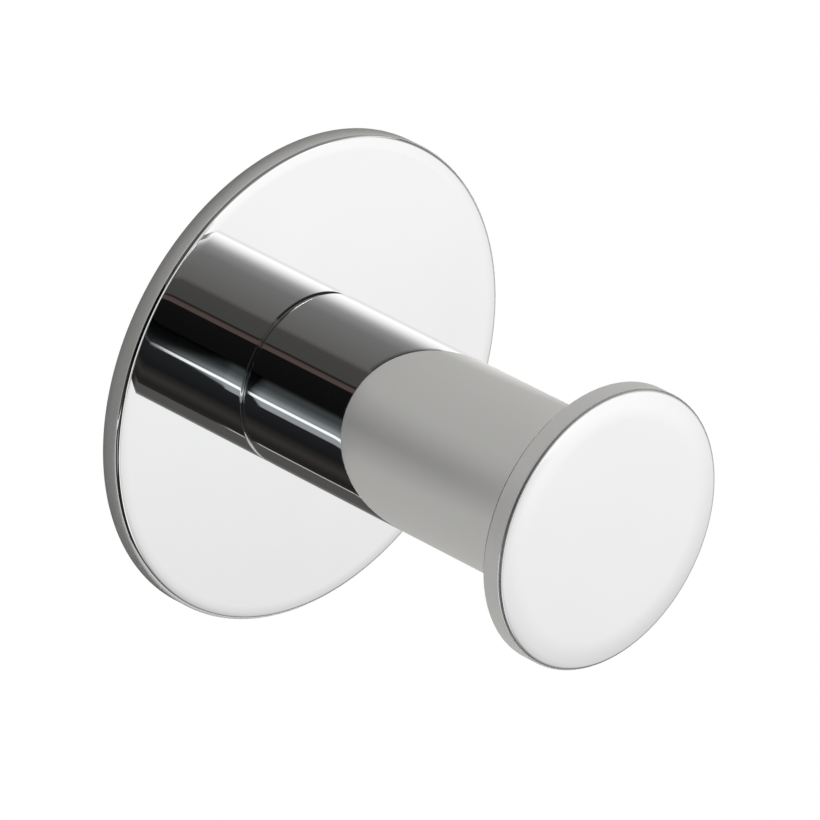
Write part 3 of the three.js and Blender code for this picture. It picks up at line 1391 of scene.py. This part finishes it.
@dataclass
class Fixings:
    """Screws that hold the hook: wall screw, grub screw and the stud between head and stem.

    Attributes:
        wall_rim: Height of the rim of the wall screw's head.
        wall_break: Width of the broken edge of that rim, and radius of the screw's tip.
        wall_shank: Radius of its shank.
        wall_neck: Length under its head that has no thread.
        wall_point: Length of its point.
        wall_thread: Form of its thread.
        wall_recess: Its recess.
        grub_point: Radius of the grub screw's blunt tip.
        grub_lead: Length by which its thread runs onto the point.
        grub_chamfer: Width of the chamfer at its outer end.
        grub_thread: Form of its thread.
        grub_recess: Its recess.
        stud_chamfer: Width of the chamfer at the stud's end in the stem.
        stud_seat: Length at its end in the head that has no thread.
        stud_thread: Form of its thread.
    """

    wall_rim: float = 0.3 * MM
    wall_break: float = 0.08 * MM
    wall_shank: float = 2.25 * MM
    wall_neck: float = 0.5 * MM
    wall_point: float = 7.0 * MM
    wall_thread: Thread = Thread(pitch=2.2 * MM, depth=0.75 * MM, ridge=0.5, runout=1.2 * MM)
    wall_recess: Recess = Recess(Drive.CROSS, size=2.2 * MM, depth=2.2 * MM, floor=0.45, arm=0.5 * MM)
    grub_point: float = 0.6 * MM
    grub_lead: float = 0.1 * MM
    grub_chamfer: float = 0.3 * MM
    grub_thread: Thread = Thread(pitch=0.7 * MM, depth=0.4 * MM, ridge=0.9, runout=0.35 * MM)
    grub_recess: Recess = Recess(Drive.HEX, size=1.0 * MM, depth=1.6 * MM, floor=0.98)
    stud_chamfer: float = 0.8 * MM
    stud_seat: float = 1.2 * MM
    stud_thread: Thread = Thread(pitch=1.0 * MM, depth=0.6 * MM, ridge=0.9, runout=0.5 * MM)

    def build(self, finishes: FinishRack) -> None:
        """Builds and dresses the screws."""
        for piece in (self._wall_screw(), self._grub_screw(), self._stud()):
            piece.build(finishes)

    def _wall_screw(self) -> ThreadedPiece:
        """Lays out the countersunk screw with its coarse thread and long point.

        Returns:
            The screw.
        """
        reach = Reach.of(Solid.WALL_SCREW)
        tip, front = reach.wall_end, reach.front_end
        cone_front = front - self.wall_rim
        cone_back = cone_front - (reach.radius - self.wall_shank)
        return ThreadedPiece(
            name="countersunk_screw",
            solid=Solid.WALL_SCREW,
            coats=(ZINC_PLATED,),
            blank=(
                (self.wall_break, tip),
                (self.wall_shank, tip + self.wall_point),
                (self.wall_shank, cone_back),
                (reach.radius, cone_front),
                (reach.radius, front - self.wall_break),
                (reach.radius - self.wall_break, front),
            ),
            thread=replace(self.wall_thread, start=tip, stop=cone_back - self.wall_neck),
            recess=self.wall_recess,
        )

    def _grub_screw(self) -> ThreadedPiece:
        """Lays out the headless screw that points up at the boss.

        Returns:
            The screw.
        """
        reach = Reach.of(Solid.GRUB_SCREW)
        tip, end = -reach.highest, -reach.lowest
        point_end = tip + reach.radius - self.grub_point
        return ThreadedPiece(
            name="set_screw",
            solid=Solid.GRUB_SCREW,
            coats=(DARK_STEEL,),
            blank=(
                (self.grub_point, tip),
                (reach.radius, point_end),
                (reach.radius, end - self.grub_chamfer),
                (reach.radius - self.grub_chamfer, end),
            ),
            thread=replace(self.grub_thread, start=point_end - self.grub_lead, stop=end),
            recess=self.grub_recess,
            axis=Axis(across=RIGHT, up=-INTO_WALL, along=-UP, origin=-INTO_WALL * reach.middle),
        )

    def _stud(self) -> ThreadedPiece:
        """Lays out the stud that joins head and stem.

        Returns:
            The stud.
        """
        reach = Reach.of(Solid.HEAD_STUD)
        back, front = reach.wall_end, reach.front_end
        return ThreadedPiece(
            name="stud",
            solid=Solid.HEAD_STUD,
            coats=(TURNED_STEEL,),
            blank=(
                (reach.radius - self.stud_chamfer, back),
                (reach.radius, back + self.stud_chamfer),
                (reach.radius, front),
            ),
            thread=replace(self.stud_thread, start=back, stop=front - self.stud_seat),
        )


# Studio cards, which glow and paint light and shade into the polished surfaces' reflections


class Stop(NamedTuple):
    """Place along a card where its colour is set.

    Attributes:
        angle: Angle in degrees about the hook's axis, from +X towards +Z.
        tone: Colour there.
        glance: Lightness painted there for a first reflection, in place of the colour; no lamp gives it.
        lip: Angle in degrees by which the rows lie further out there.
    """

    angle: float
    tone: Colour
    glance: float
    lip: float = 0.0


def even(start: float, stop: float, tone: Colour, glance: float) -> tuple[Stop, Stop]:
    """Gives the stops of a card that is the same all along."""
    return Stop(start, tone, glance), Stop(stop, tone, glance)


# Angles in degrees from the hook's axis between which the cards lie
CAP = 17.0
SIDE = 84.0
BEHIND = 112.0

# Rows of the cards: that angle, and the shares of the colour and of the lightness in a first reflection
CAP_ROWS = ((0.0, 1.0, 1.0), (CAP, 1.0, 1.0))
WHOLE_ROWS = ((CAP, 1.0, 1.0), (SIDE, 1.0, 1.0))
HORIZON_ROWS = ((SIDE, 1.0, 1.0), (BEHIND, 1.0, 1.0))
PANEL_ROWS = ((CAP, 0.05, 0.1), (48.2, 0.05, 0.1), (48.4, 0.35, 1.0), (49.2, 1.0, 1.0), (SIDE, 1.0, 1.0))
STRIP_ROWS = ((CAP, 0.05, 0.1), (48.0, 0.05, 0.1), (48.2, 0.8, 1.0), (48.6, 1.0, 1.0), (SIDE, 1.0, 1.0))
# Between 44 and 54 degrees a first reflection of the corner is ten times lighter: a painted window.
CORNER_ROWS = (
    (CAP, 1.0, 1.0), (43.5, 1.0, 1.0), (44.0, 1.0, 10.0), (54.0, 1.0, 10.0), (54.5, 1.0, 1.0),
    (SIDE, 1.0, 1.0),
)
LINE_ROWS = ((CAP, 0.03, 0.5), (48.95, 0.03, 0.5), (49.15, 1.0, 0.5), (SIDE, 1.0, 0.5))
FLOOR_ROWS = ((CAP, 0.2, 4.0), (42.0, 0.2, 4.0), (47.0, 1.0, 1.0), (53.0, 1.0, 0.2), (SIDE, 1.0, 0.15))
SWEEP_ROWS = (
    (CAP, 0.2, 2.0), (42.0, 0.2, 1.5), (46.0, 1.0, 1.0), (54.0, 1.0, 1.0), (62.0, 1.0, 0.6),
    (SIDE, 1.0, 0.4),
)
FRONT_FALL = (
    (46.0, 1.0, 1.03), (49.0, 1.0, 1.0), (51.0, 1.0, 0.97), (53.5, 1.0, 0.92), (57.0, 1.0, 0.84),
    (63.0, 1.0, 0.62), (SIDE, 1.0, 0.50),
)
FACE_ROWS = ((CAP, 0.2, 0.75), (36.0, 0.2, 0.80), (40.0, 0.2, 0.95), (42.5, 0.2, 1.04), *FRONT_FALL)
KEY_ROWS = ((CAP, 0.2, 1.12), (43.0, 0.2, 1.04), *FRONT_FALL)
LAMP_ROWS = (
    (CAP, 0.2, 1.10), (43.0, 0.2, 1.02), (46.0, 1.0, 1.0), (53.0, 1.0, 1.0), (62.0, 1.0, 0.3),
    (SIDE, 1.0, 0.2),
)
SHADE_FALL = ((47.5, 1.0, 1.0), (53.0, 1.0, 1.0), (60.0, 0.1, 1.0), (SIDE, 0.05, 0.8))
# Between 28 and 38 degrees the colour is five times stronger: a painted bright line in deeper reflections.
RISE_ROWS = (
    (CAP, 0.2, 3.0), (26.0, 0.5, 2.0), (28.0, 5.0, 2.0), (38.0, 5.0, 2.0), (40.0, 1.0, 2.0),
    (44.0, 1.0, 2.0), *SHADE_FALL,
)
SHADE_ROWS = ((CAP, 0.2, 3.0), (36.0, 0.5, 2.0), (42.0, 1.0, 2.0), *SHADE_FALL)

TONE_LAYER = "tone"
WALL_GREY = (0.14, 0.137, 0.13)
GAP_BROWN = (0.026, 0.020, 0.018)
PANEL_DIM = (0.052, 0.060, 0.060)
PANEL_MID = (0.12, 0.14, 0.145)
PANEL_FULL = (0.30, 0.325, 0.335)
PANEL_EDGE = (0.355, 0.375, 0.385)
LAMP_WHITE = (1.22, 1.27, 1.28)
CORNER_BLACK = (0.0115, 0.012, 0.013)
LINE_WHITE = (0.61, 0.60, 0.58)
FLOOR_END = (0.100, 0.098, 0.095)


@dataclass(frozen=True)
class Card:
    """Curved studio card round the hook, which only its reflections see. It glows, lights nothing, and
    paints light or shade into the polished surfaces' reflections.

    Attributes:
        name: What it stands for.
        stops: Places along it where its colour is set, in order.
        rows: From its inner to its outer edge, the angle in degrees from the hook's axis and the shares of
            the colour and of the lightness in a first reflection there.
    """

    name: str
    stops: Sequence[Stop]
    rows: Sequence[Row] = WHOLE_ROWS

    ROW_STEP = 4.0
    LEAST_STEPS = 2

    def mesh(self, radius: float) -> bpy.types.Mesh:
        """Makes the card's mesh, with its colour and its lightness in a first reflection at each corner.

        Args:
            radius: The card's distance from the hook.

        Returns:
            The new mesh.
        """
        stops = refined(self.stops, lambda near, far: max(self.LEAST_STEPS, math.ceil(far[0] - near[0])))
        rows = refined(self.rows, lambda near, far: math.ceil((far[0] - near[0]) / self.ROW_STEP))
        places, tones = [], []
        for turn, tone, glance, lip in stops:
            for lean, tone_share, glance_share in rows:
                places.append(HOOK_AXIS.leaning(turn, lean + lip) * radius)
                tones.extend((*(level * tone_share for level in tone), glance * glance_share))
        count = len(rows)
        faces = [
            (corner, corner + 1, corner + count + 1, corner + count)
            for corner in range(len(places) - count)
            if (corner + 1) % count
        ]
        mesh = bpy.data.meshes.new(self.name)
        mesh.from_pydata(places, [], faces)
        mesh.color_attributes.new(TONE_LAYER, "FLOAT_COLOR", "POINT").data.foreach_set("color", tones)
        return mesh


CARDS = (
    # Dark only in second and later reflections: paints the shade along the stem's foot, where it meets the
    # plate.
    Card("front_cap", even(0.0, 360.0, grey(0.01), 0.8), CAP_ROWS),
    # This card and the next two paint the key lamp's reflection, a bright sweep on the right.
    Card("front_glow", (
        Stop(-50.0, grey(0.25), 0.55),
        Stop(-46.0, grey(0.27), 0.83),
        Stop(-38.5, grey(0.50), 0.98),
        Stop(-35.5, grey(0.72), 1.03),
    ), FACE_ROWS),
    Card("key_start", (
        Stop(-35.5, grey(0.72), 1.03),
        Stop(-33.0, grey(0.90), 1.07),
        Stop(-11.0, grey(1.0), 1.05),
    ), KEY_ROWS),
    # Brightest part of that painted reflection of the key lamp; it lights nothing.
    Card("painted_key_reflection", (
        Stop(-11.0, grey(1.0), 1.05),
        Stop(-5.0, grey(1.4), 1.05),
        Stop(13.0, grey(1.05), 1.0),
    ), LAMP_ROWS),
    Card("sweep_fall", (
        Stop(13.0, grey(1.05), 1.0),
        Stop(29.0, grey(0.47), 0.45),
        Stop(37.0, grey(0.31), 0.30),
        Stop(53.0, grey(0.20), 0.22),
    ), RISE_ROWS),
    Card("grey_wall", (Stop(53.0, grey(0.20), 0.22), Stop(98.0, WALL_GREY, 0.14)), SHADE_ROWS),
    Card("shaded_wall", (
        Stop(98.0, WALL_GREY, 0.14),
        Stop(104.0, (0.072, 0.070, 0.066), 0.08),
        Stop(125.5, (0.066, 0.065, 0.064), 0.07),
    )),
    Card("wall_gap", even(125.5, 128.3, GAP_BROWN, 0.03)),
    Card("warm_edge", (Stop(128.3, (0.088, 0.066, 0.059), 0.07), Stop(133.9, (0.096, 0.073, 0.066), 0.07))),
    Card("camera_flag", (Stop(133.9, grey(0.007), 0.005), Stop(165.5, grey(0.005), 0.005))),
    Card("cool_panel", (
        Stop(165.5, grey(0.005), 0.005, 0.75),
        Stop(171.0, PANEL_DIM, 0.02, 0.65),
        Stop(175.5, PANEL_DIM, 0.03, 0.45),
        Stop(182.0, PANEL_MID, 0.05, 0.20),
        Stop(187.5, PANEL_FULL, 0.05, 0.05),
        Stop(191.0, PANEL_FULL, 0.05, 0.1),
    ), PANEL_ROWS),
    # A glowing strip that paints a lamp's reflection; it lights nothing.
    Card("painted_strip_lamp", (Stop(191.0, LAMP_WHITE, 0.8, 0.1), Stop(194.7, LAMP_WHITE, 0.8, 0.2)), STRIP_ROWS),
    Card("panel_foot", (
        Stop(194.7, PANEL_EDGE, 0.05, 0.5),
        Stop(200.0, PANEL_EDGE, 0.05, 1.0),
        Stop(202.5, PANEL_FULL, 0.05, 1.2),
    ), STRIP_ROWS),
    Card("dark_corner", (
        Stop(202.5, (0.018, 0.019, 0.021), 0.045),
        Stop(222.0, CORNER_BLACK, 0.045),
    ), CORNER_ROWS),
    Card("brown_cloth", (
        Stop(222.0, CORNER_BLACK, 0.02),
        Stop(239.0, (0.041, 0.039, 0.036), 0.02),
        Stop(254.0, (0.019, 0.018, 0.016), 0.02),
        Stop(262.5, (0.026, 0.025, 0.023), 0.04),
    )),
    Card("floor_line", even(262.5, 264.5, LINE_WHITE, 0.20), LINE_ROWS),
    Card("warm_floor", (Stop(264.5, (0.100, 0.097, 0.091), 0.27), Stop(293.0, FLOOR_END, 0.30)), FLOOR_ROWS),
    Card("front_sweep", (
        Stop(293.0, FLOOR_END, 0.30),
        Stop(303.0, grey(0.18), 0.40),
        Stop(310.0, grey(0.25), 0.55),
    ), SWEEP_ROWS),
    Card("dark_room", (
        Stop(-120.0, grey(0.08), 0.90),
        Stop(-100.0, grey(0.03), 0.05),
        Stop(10.0, grey(0.03), 0.05),
        Stop(60.0, grey(0.05), 0.40),
        Stop(190.0, grey(0.05), 0.30),
    ), HORIZON_ROWS),
    Card("side_wall", even(190.0, 240.0, grey(0.08), 0.90), HORIZON_ROWS),
)


# Studio


@dataclass
class Studio:
    """Plain pale studio: white all round, a soft key from the right, a pale wall and a pale floor.

    Attributes:
        azimuth: Camera's angle to the left of straight on, in degrees.
        elevation: Camera's angle above level, in degrees.
        distance: Camera's distance from its target.
        target: Point of the hook that the camera is set by.
        target_pixel: Where that point lies in the frame.
        frame_pixels: Width and height of the frame.
        focal_pixels: Focal length in pixels of the frame.
        sensor: Width of the sensor in millimetres.
        card_radius: Distance of the cards from the hook.
        ambient: Strength of the white surroundings as a light.
        key_power: Power of the key lamp in watts.
        key_size: Width of the key lamp.
        key_distance: Distance of the key lamp from the hook.
        key_turn: Angle in degrees of the key lamp about the hook's axis, from +X towards +Z.
        key_lean: Angle in degrees of the key lamp from the hook's axis.
        paint_scale: How fine the texture of the paint is.
        paint_low: Share of its lightness that the paint keeps where its grain noise is lowest.
        wall_tone: Lightness of the wall.
        wall_tint: Colour of the wall at full lightness.
        wall_shade: Share of that lightness kept right beside the plate, as painted shade.
        wall_clear: Radius where that painted shade ends.
        wall_glow: Share by which a painted glow, standing for the key lamp's spill, lightens the wall at its
            brightest place.
        glow_place: That place, to the right of the plate.
        glow_radius: Distance over which that painted glow fades.
        wall_inner: Radius of the opening in the wall behind the plate.
        wall_outer: Radius of the wall.
        wall_gap: Distance of the wall behind the plate's back.
        wall_segments: Segments of the wall.
        floor_tone: Lightness of the floor.
        floor_radius: Radius of the floor.
        floor_centre: Middle of the floor.
        floor_segments: Segments of the floor.
    """

    azimuth: float = 43.435
    elevation: float = 28.547
    distance: float = 1.0302
    target: Vector = field(default_factory=lambda: Vector((0.0, -0.025, 0.0)))
    target_pixel: Pair = (457.1, 453.6)
    frame_pixels: float = 820.0
    focal_pixels: float = 9820.7
    sensor: float = 36.0
    card_radius: float = 1.0
    ambient: float = 0.63
    key_power: float = 1.9
    key_size: float = 0.28
    key_distance: float = 0.5
    key_turn: float = -17.0
    key_lean: float = 50.0
    paint_scale: float = 60.0
    paint_low: float = 0.99
    wall_tone: float = 0.45
    wall_tint: Colour = (1.0, 0.99, 0.96)
    wall_shade: float = 0.70
    wall_clear: float = 29.0 * MM
    wall_glow: float = 0.7
    glow_place: tuple[float, float, float] = (30.0 * MM, 0.0, -3.0 * MM)
    glow_radius: float = 22.0 * MM
    wall_inner: float = 27.3 * MM
    wall_outer: float = 0.2
    wall_gap: float = 0.5 * MM
    wall_segments: int = 192
    floor_tone: float = 0.88
    floor_radius: float = 0.11
    floor_centre: Vector = field(default_factory=lambda: Vector((0.0, 0.03, -0.15)))
    floor_segments: int = 96

    FIRST_REFLECTION = 1.5  # Between the ray depths of a first reflection and a second

    def build(self) -> None:
        """Builds the studio."""
        bpy.context.scene.view_settings.view_transform = "Standard"
        self._camera()
        self._world()
        self._key_lamp()
        self._wall()
        self._floor()
        self._cards()

    @staticmethod
    def _aim(thing: Object, place: Vector, target: Vector) -> None:
        """Puts a camera or a lamp at a place and turns it to a target."""
        thing.location = place
        thing.rotation_euler = (target - place).to_track_quat("-Z", "Y").to_euler()

    @staticmethod
    def _reflections_only(thing: Object) -> None:
        """Hides a stage object from everything but reflections.

        Args:
            thing: The object.
        """
        thing.visible_camera = False
        thing.visible_diffuse = False
        thing.visible_shadow = False
        thing.visible_transmission = False

    def _camera(self) -> None:
        """Places the camera at the photograph's angle and framing."""
        turn, rise = math.radians(self.azimuth), math.radians(self.elevation)
        back = Vector((-math.sin(turn) * math.cos(rise), -math.cos(turn) * math.cos(rise), math.sin(rise)))
        right = Vector((math.cos(turn), -math.sin(turn), 0.0))
        up = back.cross(right)
        across, down = (pixel - self.frame_pixels / 2.0 for pixel in self.target_pixel)
        metres_per_pixel = self.distance / self.focal_pixels
        data = bpy.data.cameras.new("camera")
        data.sensor_width = self.sensor
        data.lens = self.focal_pixels * self.sensor / self.frame_pixels
        camera = placed("camera", data)
        middle = self.target - right * (across * metres_per_pixel) + up * (down * metres_per_pixel)
        self._aim(camera, self.target + back * self.distance, middle)
        bpy.context.scene.camera = camera

    def _world(self) -> None:
        """Makes the world white to the camera and in reflections, and a little less as a light."""
        world = bpy.data.worlds.new("white_room")
        world.use_nodes = True
        bpy.context.scene.world = world
        bench = NodeBench(world.node_tree)
        path = bench.add("ShaderNodeLightPath").outputs
        seen = bench.maths("MAXIMUM", path["Is Camera Ray"], path["Is Glossy Ray"])
        seen = bench.maths("MAXIMUM", seen, path["Is Transmission Ray"])
        background = world.node_tree.nodes["Background"]
        bench.fill(background, Color=grey(1.0), Strength=bench.spread(seen, (self.ambient, 1.0)))

    def _key_lamp(self) -> None:
        """Hangs the soft key lamp to the right, in front of the wall."""
        data = bpy.data.lights.new("key_lamp", "AREA")
        data.energy = self.key_power
        data.size = self.key_size
        lamp = placed("key_lamp", data)
        # Hidden from reflections: the key cards paint its reflection instead.
        lamp.visible_glossy = False
        self._aim(lamp, HOOK_AXIS.leaning(self.key_turn, self.key_lean) * self.key_distance, Vector())

    def _paint(self, name: str, tone: float) -> tuple[MaterialBench, NodeSocket]:
        """Makes a matt pale paint with a trace of roller texture.

        Args:
            name: The material's name.
            tone: Its lightness.

        Returns:
            The new material's nodes, and the output with its lightness at each point.
        """
        bench = MaterialBench(name)
        grain = bench.add("ShaderNodeTexNoise", Scale=self.paint_scale, Detail=2.0).outputs["Fac"]
        level = bench.spread(grain, (tone * self.paint_low, tone))
        bench.fill(bench.shader, Base_Color=level, Roughness=1.0, Specular_IOR_Level=0.0)
        return bench, level

    def _wall(self) -> None:
        """Puts a pale wall round the plate that shows in reflections only, with painted shade beside the
        plate and a painted glow to its right.
        """
        outline = Outline(self.wall_outer, -self.wall_gap).flat(self.wall_inner, -self.wall_gap)
        bench, tone = self._paint("wall_paint", self.wall_tone)
        radius, _, _ = bench.lathe_place()
        # Painted shade: the wall darkens towards the plate's edge.
        painted_contact_shade = bench.spread(radius, (self.wall_shade, 1.0), (self.wall_inner, self.wall_clear))
        # Painted light: the wall is lighter towards glow_place, like a spill from the key lamp.
        away = bench.add("ShaderNodeVectorMath")
        away.operation = "DISTANCE"
        for socket, value in zip(away.inputs, (bench.place(), self.glow_place)):
            bench.feed(socket, value)
        glow = bench.spread(away.outputs["Value"], (1.0 + self.wall_glow, 1.0), (0.0, self.glow_radius))
        shaded = bench.maths("MULTIPLY", bench.maths("MULTIPLY", painted_contact_shade, glow), tone)
        bench.fill(bench.shader, Base_Color=bench.blend(shaded, grey(0.0), self.wall_tint))
        wall = MeshDraft("wall_card", self.wall_segments, outline).finished(bench.material)
        self._reflections_only(wall)

    def _floor(self) -> None:
        """Lays a small pale floor well below the hook, which can't be seen from below."""
        upright = Axis(across=RIGHT, up=INTO_WALL, along=UP, origin=self.floor_centre)
        outline = Outline(self.floor_radius, 0.0).flat(0.0, 0.0)
        bench, _ = self._paint("floor_paint", self.floor_tone)
        below = bench.add("ShaderNodeNewGeometry").outputs["Backfacing"]
        bench.fill(bench.shader, Alpha=bench.maths("SUBTRACT", 1.0, below))
        MeshDraft("floor", self.floor_segments, outline, axis=upright).finished(bench.material)

    def _cards(self) -> None:
        """Hangs the glowing cards that paint light and shade into the polished surfaces' reflections."""
        material = self._card_material()
        for card in CARDS:
            mesh = card.mesh(self.card_radius)
            mesh.materials.append(material)
            thing = placed(card.name, mesh)
            self._reflections_only(thing)

    def _card_material(self) -> Material:
        """Makes the cards' glowing material, which paints a lightness of its own into a first reflection and
        the card's colour into deeper ones.

        Returns:
            The new material.
        """
        bench = MaterialBench("studio_card")
        bench.tree.nodes.remove(bench.shader)
        tone = bench.add("ShaderNodeVertexColor")
        tone.layer_name = TONE_LAYER
        depth = bench.add("ShaderNodeLightPath").outputs["Ray Depth"]
        deep = bench.maths("GREATER_THAN", depth, self.FIRST_REFLECTION)
        shown = bench.blend(deep, tone.outputs["Alpha"], tone.outputs["Color"])
        bench.fill(bench.output, Surface=bench.add("ShaderNodeEmission", Color=shown).outputs["Emission"])
        return bench.material


def main() -> None:
    """Builds the hook and its studio."""
    logging.basicConfig(level=logging.INFO, format="%(message)s")
    finishes = FinishRack()
    for assembly in (BackPlate(), Stem(), Head(), MountingBoss(), Fixings()):
        assembly.build(finishes)
    Studio().build()


if __name__ == "__main__":
    main()
